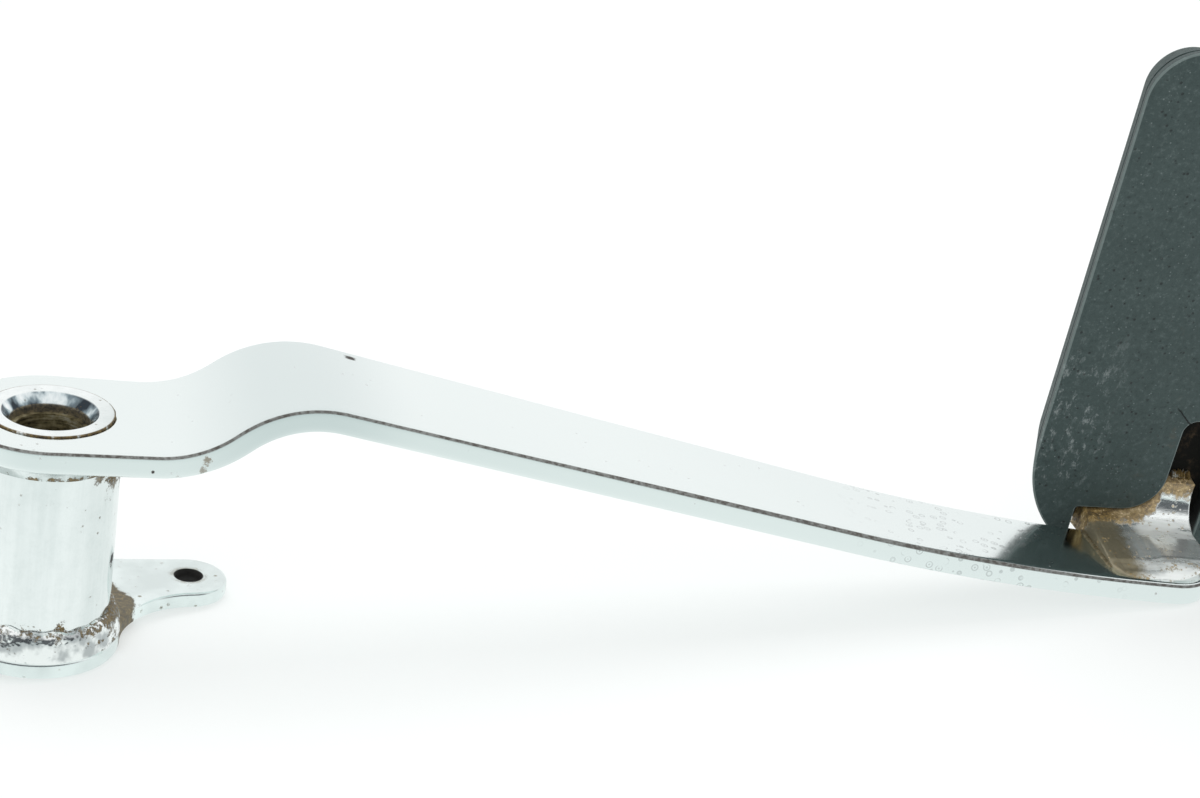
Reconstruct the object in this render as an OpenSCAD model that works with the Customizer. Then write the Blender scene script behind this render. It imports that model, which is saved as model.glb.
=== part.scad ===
// Foot brake lever: a joggled flat-bar arm on a pivot tube, with a rod lever below and a rubber foot pad.
// Millimetres. The origin is the middle of the pivot bore, +Z is the pivot axis and +X runs along the arm.

/* [Pivot tube] */
// Overall length of the tube
tube_len = 56; // [48:1:70]
// Outside diameter of the tube
tube_d = 31.8; // [29.5:0.1:34]
// Diameter of the turned-down ends that pass through the arm and the rod lever
spigot_d = 27.8; // [25:0.1:29]
// How far the upper end stands above the arm
spigot_proud = 0.4; // [0.2:0.1:1.5]
// Bore of the tube, which holds the bushes
bore_d = 17; // [16:0.1:19]
// Diameter of the funnel's mouth at each end
mouth_d = 21; // [19.5:0.1:23]
// Depth of the funnel
mouth_depth = 2.6; // [1:0.1:4]

/* [Bushes] */
// Inside diameter of the bushes
bush_bore_d = 15; // [13:0.1:15.4]
// Length of each bush
bush_len = 20; // [12:0.5:21]
// Depth of a bush below the end of the tube
bush_inset = 4.2; // [4:0.1:6]

/* [Arm] */
// Thickness of the flat bar
arm_t = 5.5; // [4:0.1:8]
// Width of the round end at the pivot
boss_d = 41.4; // [40:0.1:48]
// Width of the round end under the pad
end_d = 26.2; // [22:0.1:34]
// Distance from the pivot to the centre of the far round end
arm_reach = 261.5; // [235:0.5:275]
// Flat length from the pivot to the first bend
flat_len = 20.6; // [20:0.1:30]
// Angle of the short rise
rise_angle = 38.8; // [25:0.1:45]
// Radius of the first bend, on the arm's upper face
rise_radius = 24.7; // [15:0.1:32]
// Straight length between the two bends
ramp_len = 1.3; // [0.5:0.1:8]
// Radius of the crest, on the arm's upper face
crest_radius = 27.8; // [18:0.1:34]
// Slope of the long fall after the crest
fall_angle = 11.4; // [6:0.1:12]
// Distance from the pivot at which the fall begins to flatten out
flatten_from = 178.6; // [140:0.5:190]
// Radius of the flattening stretch
flatten_radius = 570; // [500:5:640]
// How far the bend lines are turned from square to the arm
bend_skew = 5.2; // [0:0.1:7]

/* [Rod lever] */
// Thickness of the rod lever
lever_t = 4; // [3:0.1:6]
// Width of its round end on the tube
lever_boss_d = 37; // [36:0.1:42]
// Distance from the pivot to the rod hole
lever_reach = 43.9; // [40:0.1:50]
// Direction of the rod hole, turned from the arm
lever_angle = 37.5; // [20:0.5:60]
// Width of the round tip
tip_d = 17.9; // [14:0.1:20]
// Rod hole
rod_hole_d = 6.5; // [5:0.1:9]
// Radius of the hollow front edge between boss and tip
lever_hollow = 20; // [16:0.5:26]
// Width of the full back of the lever
web_d = 36; // [34:0.1:37]
// Distance from the pivot to the centre of that back
web_reach = 17.1; // [12:0.1:18]
// How far its direction is turned from the rod hole's
web_turn = 26.5; // [20:0.5:32]

/* [Welds] */
// Leg of the fillet weld under the arm
arm_weld = 3.7; // [2:0.1:4.2]
// Height of the weld on the rod lever
lever_weld_h = 6.5; // [3:0.1:9]
// Width of the weld on the rod lever
lever_weld_w = 2.4; // [1.5:0.1:2.5]
// Leg of the weld along the foot's left side
foot_weld = 1.2; // [0.8:0.1:2]
// Leg of the weld along the neck's top
neck_weld = 2.2; // [1:0.1:3]

/* [Neck] */
// Distance of the neck's left side from the centre of the arm's end
neck_half = 14.7; // [12:0.1:16]
// Thickness of the neck where it stands up
neck_t = 3.5; // [2.5:0.1:5]
// Height of the neck's top edge on the footplate
neck_top = 13.5; // [12.5:0.1:18]
// Radius of the hollow between foot and upright
neck_hollow = 9.2; // [6:0.1:9.5]
// Thickness of the foot on the arm
foot_t = 3.5; // [2.5:0.1:4]
// Length over which the foot's front end is rounded down to its toe
nose_len = 7.3; // [4:0.1:9]
// Thickness of the foot at its toe
toe_t = 0.4; // [0.3:0.1:1.5]
// Distance of the toe from the arm's edge
toe_inset = 1.3; // [0.8:0.1:3]

/* [Footplate] */
// Thickness of the steel plate in the pad
plate_t = 3; // [2:0.1:4]
// Rubber round the plate's edge
plate_margin = 6; // [4:0.1:8]

/* [Pad] */
// Width of the rubber pad
pad_w = 82; // [74:1:92]
// Height of the pad above the level of the neck's foot
pad_h = 127; // [110:1:140]
// How far the pad's lower edge hangs below that level
pad_hang = 5; // [4:0.1:5.5]
// Thickness of the pad without its ribs
pad_t = 15.5; // [13:0.1:18]
// How much smaller the tread side is than the back, on each side
pad_draft = 5.6; // [3:0.1:7]
// Corner radius at the top
pad_top_r = 12.5; // [9:0.1:18]
// Corner radius at the bottom
pad_bottom_r = 33; // [28:0.5:36]
// How far the pad leans back over the arm
pad_lean = 10; // [5:0.5:14]
// Gap between the pad's back and the edge of the arm
pad_gap = 1.4; // [1:0.1:3]
// Height of the pad's reference level above the arm's end
pad_lift = 1.4; // [1:0.1:3]
// Distance from the arm's end centre to the pad's middle
pad_offset = 9.7; // [7:0.1:11]
// Depth of the neck's face behind the back of the pad
neck_recess = 1.2; // [0.8:0.1:2]
// Number of raised ribs on the tread
rib_count = 9; // [5:1:10]
// Width of a rib
rib_w = 6; // [4:0.1:7]
// Height of a rib
rib_h = 2.5; // [1.5:0.1:4]

/* [Notch in the pad's back] */
// Clearance beside the weld at the neck's left
notch_gap = 1.2; // [0.8:0.1:3]
// Clearance between the neck and the round shoulder
shoulder_gap = 0.6; // [0.3:0.1:1]
// Height of the wide lower part
notch_step = 5.2; // [4:0.1:8]
// Height of the narrow upper part
notch_h = 31.5; // [26:0.5:40]
// Width of the narrow upper part
notch_w = 11.6; // [8:0.1:16]
// Radius of the round shoulder beside the neck
shoulder_r = 9.7; // [6:0.1:10]
// Corner radius at the notch's top
notch_r = 3.4; // [2:0.1:4]

/* [Hidden] */
$fn = 96;
eps = 0.01;
lots = 200;
bend_steps = 16;
tube_r = tube_d / 2;
spigot_r = spigot_d / 2;
bore_r = bore_d / 2;
boss_r = boss_d / 2;
end_r = end_d / 2;
tube_top = tube_len / 2;
arm_top = tube_top - spigot_proud;
arm_under = arm_top - arm_t;
lever_under = -tube_top;
lever_top = lever_under + lever_t;

// Upper face of the arm in its side view: the ends of its straight and bent stretches
rise_end = [flat_len + rise_radius * sin(rise_angle), rise_radius * (1 - cos(rise_angle))];
ramp_end = rise_end + ramp_len * [cos(rise_angle), sin(rise_angle)];
crest_centre = ramp_end + crest_radius * [sin(rise_angle), -cos(rise_angle)];
fall_start = crest_centre + crest_radius * [sin(fall_angle), cos(fall_angle)];
fall_len = (flatten_from - fall_start[0]) / cos(fall_angle);
fall_end = fall_start + fall_len * [cos(fall_angle), -sin(fall_angle)];
flatten_centre = fall_end + flatten_radius * [sin(fall_angle), cos(fall_angle)];
function flat_end_height(u) = flatten_centre[1] - sqrt(pow(flatten_radius, 2) - pow(u - flatten_centre[0], 2));
arm_end_top = arm_top + flat_end_height(arm_reach * cos(bend_skew));
flatten_stop = asin((arm_reach + end_d - flatten_centre[0]) / flatten_radius) - 90;

// Rod lever: centres of its round stretches and the directions in which they join
lever_boss_r = lever_boss_d / 2;
web_r = web_d / 2;
tip_r = tip_d / 2;
tip_centre = lever_reach * [cos(lever_angle), sin(lever_angle)];
web_centre = web_reach * [cos(lever_angle + web_turn), sin(lever_angle + web_turn)];
boss_side = lever_boss_r + lever_hollow;
tip_side = tip_r + lever_hollow;
hollow_turn = acos((pow(boss_side, 2) + pow(lever_reach, 2) - pow(tip_side, 2)) / (2 * boss_side * lever_reach));
hollow_from = lever_angle - hollow_turn;
hollow_centre = boss_side * [cos(hollow_from), sin(hollow_from)];
hollow_to = atan2(hollow_centre[1] - tip_centre[1], hollow_centre[0] - tip_centre[0]);
web_to_tip = tip_centre - web_centre;
boss_join = lever_angle + web_turn + 90 - asin((lever_boss_r - web_r) / web_reach);
tip_join = atan2(web_to_tip[1], web_to_tip[0]) + 90 - asin((web_r - tip_r) / norm(web_to_tip));

// Pad: places in its own frame, where Y is the depth behind its back and Z runs up the pad
pad_mid = arm_reach + pad_offset;
pad_left = pad_mid - pad_w / 2;
pad_y = end_r + pad_gap;
pad_z = arm_end_top + pad_lift;
plate_front = neck_recess + neck_t;
plate_back = plate_front + plate_t;
plate_bottom = 1;
tread_bottom = 7;
round_drop = 12;
pad_edge = 0.5;
field_inset = 2;
field_h = 0.4;
function in_pad(y, z) = [
    (y - pad_y) * cos(pad_lean) + (z - pad_z) * sin(pad_lean),
    (z - pad_z) * cos(pad_lean) - (y - pad_y) * sin(pad_lean)
];

// Neck: its side view, in the pad's frame
neck_left = arm_reach - neck_half;
foot_r = end_r - toe_inset;
neck_right = arm_reach + foot_r;
neck_sink = 1.5;
neck_corner_r = 3;
foot_corner_r = 4;
toe_y = toe_inset - end_r;
toe_foot = in_pad(toe_y, arm_end_top - neck_sink);
nose_drop = foot_t - toe_t;
nose_r = (pow(nose_len, 2) + pow(nose_drop, 2)) / (2 * nose_drop);
nose_turn = 90 + acos(1 - nose_drop / nose_r);
foot_crest = in_pad(toe_y + nose_len, arm_end_top + foot_t);
heel = [neck_recess, foot_crest[1] - (neck_recess - foot_crest[0]) * tan(pad_lean)];
hollow_leg = neck_hollow / tan((90 - pad_lean) / 2);
hollow_mid = heel + [-neck_hollow, hollow_leg];
neck_back_foot = [plate_front, in_pad(pad_y + plate_front, arm_end_top - neck_sink)[1]];
end_slope = asin((flatten_centre[0] - arm_reach * cos(bend_skew)) / flatten_radius);
neck_tilt_rise = neck_half * sin(end_slope);

// Notch in the pad's back: its sides and the centre of its round shoulder
notch_left = neck_left - foot_weld - notch_gap;
slot_left = pad_mid - notch_w / 2;
slot_right = pad_mid + notch_w / 2;
shoulder_mid = [slot_left - shoulder_r, notch_step + shoulder_r];

// Points along a circle from one angle to another
function arc(centre, radius, from, to, steps) = [
    for (i = [0 : steps]) let (turn = from + (to - from) * i / steps) centre + radius * [cos(turn), sin(turn)]
];

// A round-ended strip: an arc round each centre, joined by the two shared tangents
module strip(a, ra, b, rb, steps = 48) {
    run = b - a;
    turn = atan2(run[1], run[0]);
    side = 90 - asin((ra - rb) / norm(run));
    polygon(concat(
        arc(a, ra, turn + side, turn + 360 - side, steps),
        arc(b, rb, turn - side, turn + side, steps)
    ));
}

// Side view of the bent bar, with its upper face at the pivot on the X axis
module arm_side() {
    rise_centre = [flat_len, rise_radius];
    polygon(concat(
        [[-boss_d, 0]],
        arc(rise_centre, rise_radius, -90, rise_angle - 90, bend_steps),
        arc(crest_centre, crest_radius, 90 + rise_angle, 90 - fall_angle, bend_steps),
        arc(flatten_centre, flatten_radius, -90 - fall_angle, flatten_stop, bend_steps),
        arc(flatten_centre, flatten_radius + arm_t, flatten_stop, -90 - fall_angle, bend_steps),
        arc(crest_centre, crest_radius - arm_t, 90 - fall_angle, 90 + rise_angle, bend_steps),
        arc(rise_centre, rise_radius + arm_t, rise_angle - 90, -90, bend_steps),
        [[-boss_d, -arm_t]]
    ));
}

module arm_solid() {
    intersection() {
        translate([0, 0, arm_top]) rotate([0, 0, bend_skew]) rotate([90, 0, 0])
            linear_extrude(height = 2 * boss_d, center = true) arm_side();
        linear_extrude(height = lots, center = true) strip([0, 0], boss_r, [arm_reach, 0], end_r);
    }
}

module arm() {
    color("gainsboro") difference() {
        arm_solid();
        cylinder(r = spigot_r, h = lots);
    }
}

module pivot_tube() {
    color("gainsboro") rotate_extrude() polygon([
        [bore_r, mouth_depth - tube_top],
        [mouth_d / 2, -tube_top],
        [spigot_r, -tube_top],
        [spigot_r, lever_top],
        [tube_r, lever_top],
        [tube_r, arm_under],
        [spigot_r, arm_under],
        [spigot_r, tube_top],
        [mouth_d / 2, tube_top],
        [bore_r, tube_top - mouth_depth]
    ]);
}

module bush(bottom) {
    translate([0, 0, bottom]) difference() {
        cylinder(r = bore_r, h = bush_len);
        translate([0, 0, -1]) cylinder(d = bush_bore_d, h = bush_len + 2);
    }
}

module upper_bush() {
    color("darkgoldenrod") bush(tube_top - bush_inset - bush_len);
}

module lower_bush() {
    color("darkgoldenrod") bush(bush_inset - tube_top);
}

module rod_lever() {
    color("gainsboro") translate([0, 0, lever_under]) linear_extrude(height = lever_t) difference() {
        polygon(concat(
            arc([0, 0], lever_boss_r, boss_join, hollow_from + 360, 48),
            arc(hollow_centre, lever_hollow, hollow_from + 180, hollow_to + 180, 16),
            arc(tip_centre, tip_r, hollow_to, tip_join, 32),
            arc(web_centre, web_r, tip_join, boss_join, 12)
        ));
        translate(tip_centre) circle(d = rod_hole_d);
        circle(r = spigot_r);
    }
}

// Hollow fillet weld in the corner under the arm
module arm_weld_ring() {
    color("silver") translate([0, 0, arm_under]) rotate_extrude() translate([tube_r, 0]) difference() {
        translate([0, -arm_weld]) square(arm_weld);
        translate([arm_weld, -arm_weld]) circle(r = arm_weld);
    }
}

// Full, uneven weld round the foot of the tube
module lever_weld_ring() {
    color("rosybrown") translate([0, 0, lever_top]) rotate_extrude() translate([tube_r, 0]) polygon([
        [0, 0],
        [lever_weld_w, 0],
        [0.85 * lever_weld_w, 0.4 * lever_weld_h],
        [0.4 * lever_weld_w, 0.8 * lever_weld_h],
        [0, lever_weld_h]
    ]);
}

// Turns and moves a piece from the pad's frame to the part's frame
module on_pad() {
    translate([0, pad_y, pad_z]) rotate([pad_lean, 0, 0]) children();
}

// Stands a side view up across the arm's sloping end, from one X to another
module across(from, to) {
    on_pad() translate([arm_reach, 0, 0]) rotate([0, end_slope, 0]) translate([from - arm_reach, 0, 0])
        rotate([90, 0, 90]) linear_extrude(height = to - from) children();
}

module neck_side() {
    nose_mid = [toe_y + nose_len, arm_end_top + foot_t - nose_r];
    corner = neck_back_foot + [-neck_corner_r, neck_corner_r];
    polygon(concat(
        [for (p = arc(nose_mid, nose_r, 90, nose_turn, 10)) in_pad(p[0], p[1])],
        [toe_foot],
        arc(corner, neck_corner_r, -90, 0, 8),
        [[plate_front, neck_top], [neck_recess, neck_top]],
        arc(hollow_mid, neck_hollow, 0, pad_lean - 90, 16)
    ));
}

// Front view of the neck: it flares to the left under the notch's round shoulder
module neck_front() {
    side = 2;
    polygon(concat(
        [[neck_left - side, -pad_hang - side], [neck_left - side, notch_step - shoulder_gap]],
        arc(shoulder_mid, shoulder_r + shoulder_gap, -90, 0, 16),
        [
            [slot_left + shoulder_gap, neck_top + shoulder_r],
            [neck_right + side, neck_top + shoulder_r],
            [neck_right + side, -pad_hang - side]
        ]
    ));
}

// Outline of the neck from above: it keeps inside the arm's round end and runs back to the footplate
module neck_plan() {
    back = end_r + pad_y;
    polygon(concat(
        arc([neck_left + foot_corner_r, foot_corner_r - foot_r], foot_corner_r, 180, 270, 8),
        arc([arm_reach, 0], foot_r, -90, 0, 24),
        [[neck_right, back], [neck_left, back]]
    ));
}

module neck() {
    color("silver") difference() {
        intersection() {
            across(neck_left - 2, neck_right + 2) neck_side();
            upright(-pad_w, plate_front + 1) neck_front();
            linear_extrude(height = lots, center = true) neck_plan();
        }
        arm_solid();
    }
}

// Fillet weld along the left side of the neck's foot, on the arm
module neck_weld_left() {
    color("peru") difference() {
        translate([neck_left, foot_corner_r - foot_r, arm_end_top + neck_tilt_rise]) rotate([-90, 0, 0])
            linear_extrude(height = foot_r + end_r - foot_corner_r) polygon([
                [0, -foot_weld],
                [-foot_weld, 0],
                [-foot_weld, neck_sink],
                [0, neck_sink]
            ]);
        arm_solid();
    }
}

// Thin weld between the round right side of the foot and the arm's edge
module neck_weld_right() {
    edge = 0.2;
    color("peru") difference() {
        translate([arm_reach, 0, arm_end_top - neck_sink]) intersection() {
            rotate_extrude() polygon([
                [foot_r, 0],
                [end_r - edge, 0],
                [end_r - edge, neck_sink - toe_t],
                [foot_r, neck_sink + toe_t]
            ]);
            translate([0, foot_corner_r - foot_r, -1]) cube([end_r, foot_r - foot_corner_r, 2 * neck_sink + 1]);
        }
        arm_solid();
    }
}

// Weld along the neck's top edge, on the footplate
module neck_weld_top() {
    color("peru") across(slot_left + shoulder_r / 5, neck_right - 1) polygon([
        [plate_front - neck_weld, neck_top],
        [plate_front, neck_top],
        [plate_front, neck_top + neck_weld]
    ]);
}

// Outline of the pad's back, or of a smaller shape inside it
module pad_outline(inset, bottom) {
    left = pad_left + inset;
    right = pad_mid + pad_w / 2 - inset;
    top = pad_h - inset;
    top_r = pad_top_r - inset / 2;
    low_r = pad_bottom_r - inset;
    low_v = pad_bottom_r - round_drop;
    intersection() {
        union() {
            translate([left + top_r, top - top_r]) circle(r = top_r);
            translate([right - top_r, top - top_r]) circle(r = top_r);
            translate([left + low_r, low_v]) circle(r = low_r);
            translate([right - low_r, low_v]) circle(r = low_r);
            translate([left + top_r, low_v]) square([right - left - 2 * top_r, top - low_v]);
            translate([left, low_v]) square([right - left, top - top_r - low_v]);
            translate([left + low_r, low_v - low_r]) square([right - left - 2 * low_r, low_r]);
        }
        translate([left, bottom]) square([right - left, top - bottom]);
    }
}

// Stands an outline up in the pad's frame, from one depth to another
module upright(from, to) {
    on_pad() translate([0, to, 0]) rotate([90, 0, 0]) linear_extrude(height = to - from) children();
}

module footplate() {
    color("dimgray") upright(plate_front, plate_back) pad_outline(plate_margin, plate_bottom);
}

// Cut-out in the pad's back: wide round the neck, then a narrow slot above a round shoulder
module notch() {
    below = 2 * pad_hang;
    translate([notch_left, -below]) square([slot_right - notch_left, below + notch_step]);
    translate(shoulder_mid - [0, shoulder_r]) difference() {
        square([shoulder_r + eps, shoulder_r]);
        translate([0, shoulder_r]) circle(r = shoulder_r);
    }
    translate([slot_left, 0]) square([notch_w, notch_h - notch_r]);
    translate([slot_left + notch_r, 0]) square([notch_w - 2 * notch_r, notch_h]);
    translate([slot_left + notch_r, notch_h - notch_r]) circle(r = notch_r);
    translate([slot_right - notch_r, notch_h - notch_r]) circle(r = notch_r);
}

// Raised ribs across the tread, each with round ends
module pad_ribs() {
    rib_len = pad_w - 2 * pad_draft - 2 * rib_w;
    rib_pitch = (pad_h - pad_draft - tread_bottom - rib_w) / rib_count;
    for (i = [0 : rib_count - 1])
        upright(pad_t - plate_t / 2, pad_t + rib_h)
            translate([pad_mid, tread_bottom + rib_w / 2 + (i + 0.5) * rib_pitch])
                strip([-rib_len / 2, 0], rib_w / 2, [rib_len / 2, 0], rib_w / 2, 12);
}

// Moulded slab that narrows to a raised tread field, with a pocket for the footplate and a notch for the neck
module pad_rubber() {
    color("darkslategray") difference() {
        union() {
            hull() {
                upright(0, pad_edge) pad_outline(0, -pad_hang, $fn = 64);
                upright(pad_t - pad_edge, pad_t) pad_outline(pad_draft, tread_bottom, $fn = 64);
            }
            upright(pad_t - plate_t, pad_t + field_h)
                pad_outline(pad_draft + field_inset, tread_bottom + field_inset);
            pad_ribs();
        }
        upright(plate_front, plate_back) pad_outline(plate_margin, plate_bottom);
        upright(-1, plate_front) notch();
    }
}

arm();
pivot_tube();
upper_bush();
lower_bush();
rod_lever();
arm_weld_ring();
lever_weld_ring();
neck();
neck_weld_left();
neck_weld_right();
neck_weld_top();
footplate();
pad_rubber();
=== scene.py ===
"""Foot brake lever on a pale studio floor: a plated, joggled arm on a pivot tube, and a moulded rubber
pad."""
import math

import bpy
import numpy as np
from mathutils import Matrix

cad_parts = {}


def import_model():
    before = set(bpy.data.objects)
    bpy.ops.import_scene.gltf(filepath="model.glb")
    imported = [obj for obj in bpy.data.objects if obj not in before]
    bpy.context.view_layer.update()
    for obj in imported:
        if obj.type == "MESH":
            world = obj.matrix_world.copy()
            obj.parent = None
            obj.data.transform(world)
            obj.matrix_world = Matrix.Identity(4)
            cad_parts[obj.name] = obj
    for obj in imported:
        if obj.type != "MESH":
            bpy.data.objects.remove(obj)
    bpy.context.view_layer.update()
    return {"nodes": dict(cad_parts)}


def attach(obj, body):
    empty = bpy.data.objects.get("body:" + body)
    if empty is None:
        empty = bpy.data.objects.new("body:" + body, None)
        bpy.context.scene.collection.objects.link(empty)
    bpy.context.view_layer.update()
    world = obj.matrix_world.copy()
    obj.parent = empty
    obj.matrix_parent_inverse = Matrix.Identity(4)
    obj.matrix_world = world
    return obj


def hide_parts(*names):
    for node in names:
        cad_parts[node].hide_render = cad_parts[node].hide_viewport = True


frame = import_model()
MM = 0.001

# Sizes in millimetres, as the part's source has them
TUBE_TOP, TUBE_R, SPIGOT_R, BORE_R, MOUTH_R, MOUTH_DEPTH = 28.0, 15.9, 13.9, 8.5, 10.5, 2.6
BORE_TOP = TUBE_TOP - MOUTH_DEPTH
ARM_TOP, ARM_T, BOSS_R, END_R, REACH = 27.6, 5.5, 20.7, 13.1, 261.5
FLAT, RISE, RISE_R, RAMP, CREST_R, FALL = 20.6, 38.8, 24.7, 1.3, 27.8, 11.4
FLATTEN_FROM, FLATTEN_R, SKEW = 178.6, 570.0, 5.2
LEVER_T, LEVER_R, LEVER_REACH, LEVER_TURN = 4.0, 18.5, 43.9, 37.5
TIP_R, ROD_R, HOLLOW_R = 8.95, 3.25, 20.0
WEB_R, WEB_REACH, WEB_TURN = 18.0, 17.1, 26.5
NECK_HALF, NECK_T, NECK_TOP, NECK_HOLLOW = 14.7, 3.5, 13.5, 9.2
FOOT_T, NOSE_LEN, TOE_T, TOE_INSET = 3.5, 7.3, 0.4, 1.3
PAD_W, PAD_H, PAD_HANG, PAD_T, PAD_DRAFT = 82.0, 127.0, 5.0, 15.5, 5.6
PAD_TOP_R, PAD_LOW_R, TREAD_LOW = 12.5, 33.0, 7.0
PAD_LEAN, PAD_GAP, PAD_LIFT, PAD_OFFSET, RECESS = 10.0, 1.4, 1.4, 9.7, 1.2
RIBS, RIB_W, RIB_H = 9, 6.0, 2.5
NOTCH_GAP, NOTCH_STEP, NOTCH_H, NOTCH_W = 1.2, 5.2, 31.5, 11.6
SHOULDER_R, NOTCH_R = 9.7, 3.4
FOOT_WELD, SHOULDER_GAP, FIELD_INSET, FIELD_H = 1.2, 0.6, 2.0, 0.4
CUT_POINTS = 260                # points along the notch in each of the pad's outlines
LEAN = math.radians(PAD_LEAN)
FOOT_R = END_R - TOE_INSET      # the neck's foot stands this far inside the arm's end


def turned(angle):
    """Unit vector or vectors at an angle in degrees: (cos, sin)."""
    rad = np.radians(angle)
    return np.stack([np.cos(rad), np.sin(rad)], -1)


def arc(centre, radius, start, stop, count):
    """Points centre + radius (cos, sin) with the angle running evenly from start to stop."""
    return np.asarray(centre) + radius * turned(np.linspace(start, stop, count))


def along(points, count):
    """Evenly spaced points along a bent line: its corners are joined straight and measured by length."""
    points = np.asarray(points, float)
    step = np.linalg.norm(np.diff(points, axis=0), axis=1)
    far = np.r_[0, np.cumsum(step)]
    at = np.linspace(0, far[-1], count)
    return np.stack([np.interp(at, far, points[:, k]) for k in range(points.shape[1])], -1)


def outward(loop):
    """Unit normals of a closed loop that runs anticlockwise: the chord between the two neighbours, turned
    right."""
    chord = np.roll(loop, -1, 0) - np.roll(loop, 1, 0)
    normal = np.stack([chord[:, 1], -chord[:, 0]], -1)
    return normal / np.maximum(np.linalg.norm(normal, axis=1, keepdims=True), 1e-9)


def grid_faces(rows, cols, wrap_cols=True, wrap_rows=False):
    """Quads of a grid stored row by row, as four index columns."""
    r = np.arange(rows if wrap_rows else rows - 1)
    c = np.arange(cols if wrap_cols else cols - 1)
    r, c = np.meshgrid(r, c, indexing="ij")
    r2, c2 = (r + 1) % rows, (c + 1) % cols
    return np.stack([r * cols + c, r2 * cols + c, r2 * cols + c2, r * cols + c2], -1).reshape(-1, 4)


def make_mesh(name, parts, material, replaces=(), sharp=None, marks=None):
    """One mesh object from (points in mm, quads, closing faces) sets. Points less than a micrometre apart are
    merged; a quad that loses one corner becomes a triangle and one that loses more is dropped."""
    points, quads, caps, start = [], [], [], 0
    for part in parts:
        points.append(np.asarray(part[0], float).reshape(-1, 3))
        quads.append(np.asarray(part[1]) + start)
        caps += [np.asarray(cap) + start for cap in (part[2] if len(part) > 2 else ())]
        start += len(points[-1])
    points = np.concatenate(points) * MM
    rounded = np.round(points * 1e6).astype(np.int64)
    _, first, back = np.unique(rounded, axis=0, return_index=True, return_inverse=True)
    back = back.reshape(-1)
    ids = back[np.concatenate(quads)]
    lost = ids == np.roll(ids, -1, 1)
    whole = ~lost.any(1) & (ids[:, 0] != ids[:, 2]) & (ids[:, 1] != ids[:, 3])
    three = lost.sum(1) == 1
    faces = ids[whole].tolist() + ids[three][~lost[three]].reshape(-1, 3).tolist()
    faces += [back[cap][back[cap] != np.roll(back[cap], 1)].tolist() for cap in caps]
    mesh = bpy.data.meshes.new(name)
    mesh.from_pydata(points[first].tolist(), [], faces)
    mesh.validate()
    mesh.update()
    for label, values in (marks or {}).items():
        layer = mesh.attributes.new(label, "FLOAT", "POINT")
        layer.data.foreach_set("value", np.asarray(values, np.float32).reshape(-1)[first])
    mesh.shade_smooth()
    obj = bpy.data.objects.new(name, mesh)
    bpy.context.scene.collection.objects.link(obj)
    if sharp is not None:
        mesh.set_sharp_from_angle(angle=math.radians(sharp))
    mesh.materials.append(material)
    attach(obj, "root")
    if replaces:
        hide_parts(*replaces)


def plate(outer, inner, hole, thick, top_r, low_r, place, rows=(10, 5)):
    """A plate with rounded edges. Loops outer and inner match point for point; hole marks the columns whose
    inner edge is a real hole. Down the section the plan point is outer - inset x outward normal: the inset
    follows a quarter circle of top_r, then the straight wall, then a quarter circle of low_r. Between rim and
    inner loop the faces are ruled straight. place(plan points, depth share) puts each row in space."""
    normal = outward(outer)
    top, low = np.radians(np.linspace(0, 90, 9)), np.radians(np.linspace(90, 0, 7))
    section = [(top_r * (1 - math.sin(a)), top_r * (1 - math.cos(a))) for a in top]
    section += [(0.0, d) for d in np.linspace(top_r, thick - low_r, 5)[1:-1]]
    section += [(low_r * (1 - math.sin(a)), thick - low_r * (1 - math.cos(a))) for a in low]
    rims = [outer - inset * normal for inset, _ in section]
    share_top, share_low = np.linspace(0, 1, rows[0])[:-1], np.linspace(1, 0, rows[1])[1:]
    line = [(inner + (rims[0] - inner) * k, 0.0, 0.0) for k in share_top]
    line += [(rim, depth / thick, 1 + i) for i, (rim, (_, depth)) in enumerate(zip(rims, section))]
    line += [(inner + (rims[-1] - inner) * k, 1.0, len(section)) for k in share_low]
    grid = np.array([place(p, share) for p, share, _ in line])
    mark = np.repeat([m for _, _, m in line], len(outer)).astype(float)
    n_rows, n_cols = grid.shape[:2]
    faces = grid_faces(n_rows, n_cols)
    if hole.any():
        c = np.nonzero(hole & np.roll(hole, -1))[0]
        c2 = (c + 1) % n_cols
        last = (n_rows - 1) * n_cols
        faces = np.concatenate([faces, np.stack([last + c, c, c2, last + c2], -1)])
    return grid.reshape(-1, 3), faces, mark


def lathe(profile, steps=128):
    """A closed (radius, height) profile carried round the Z axis."""
    profile = np.asarray(profile, float)
    ring = turned(np.linspace(0, 360, steps, endpoint=False))
    grid = np.empty((len(profile), steps, 3))
    grid[..., :2] = profile[:, None, :1] * ring[None]
    grid[..., 2] = profile[:, None, 1]
    return grid, grid_faces(len(profile), steps, wrap_rows=True)


def half_round(middle, half, radius):
    """A slot's outline, anticlockwise: two half circles about middle +- half along x, joined by straight
    sides."""
    x, y = middle
    right, left = (x + half, y), (x - half, y)
    top = along([(x + half, y + radius), (x - half, y + radius)], 20)[1:-1]
    low = along([(x - half, y - radius), (x + half, y - radius)], 20)[1:-1]
    return np.concatenate([arc(right, radius, -90, 90, 12), top, arc(left, radius, 90, 270, 12), low])


def corner(path, radius, count=6):
    """A polyline whose inner corners are replaced by arcs that touch both sides (quadratic through the
    corner)."""
    path = np.asarray(path, float)
    out = [path[0]]
    for a, b, c in zip(path[:-2], path[1:-1], path[2:]):
        left, right = a - b, c - b
        reach = min(radius, 0.49 * np.linalg.norm(left), 0.49 * np.linalg.norm(right))
        p = b + left / np.linalg.norm(left) * reach
        q = b + right / np.linalg.norm(right) * reach
        t = np.linspace(0, 1, count)[:, None]
        out += list((1 - t) ** 2 * p + 2 * t * (1 - t) * b + t ** 2 * q)
    out.append(path[-1])
    return np.array(out)


# ---- Finishes ----

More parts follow.
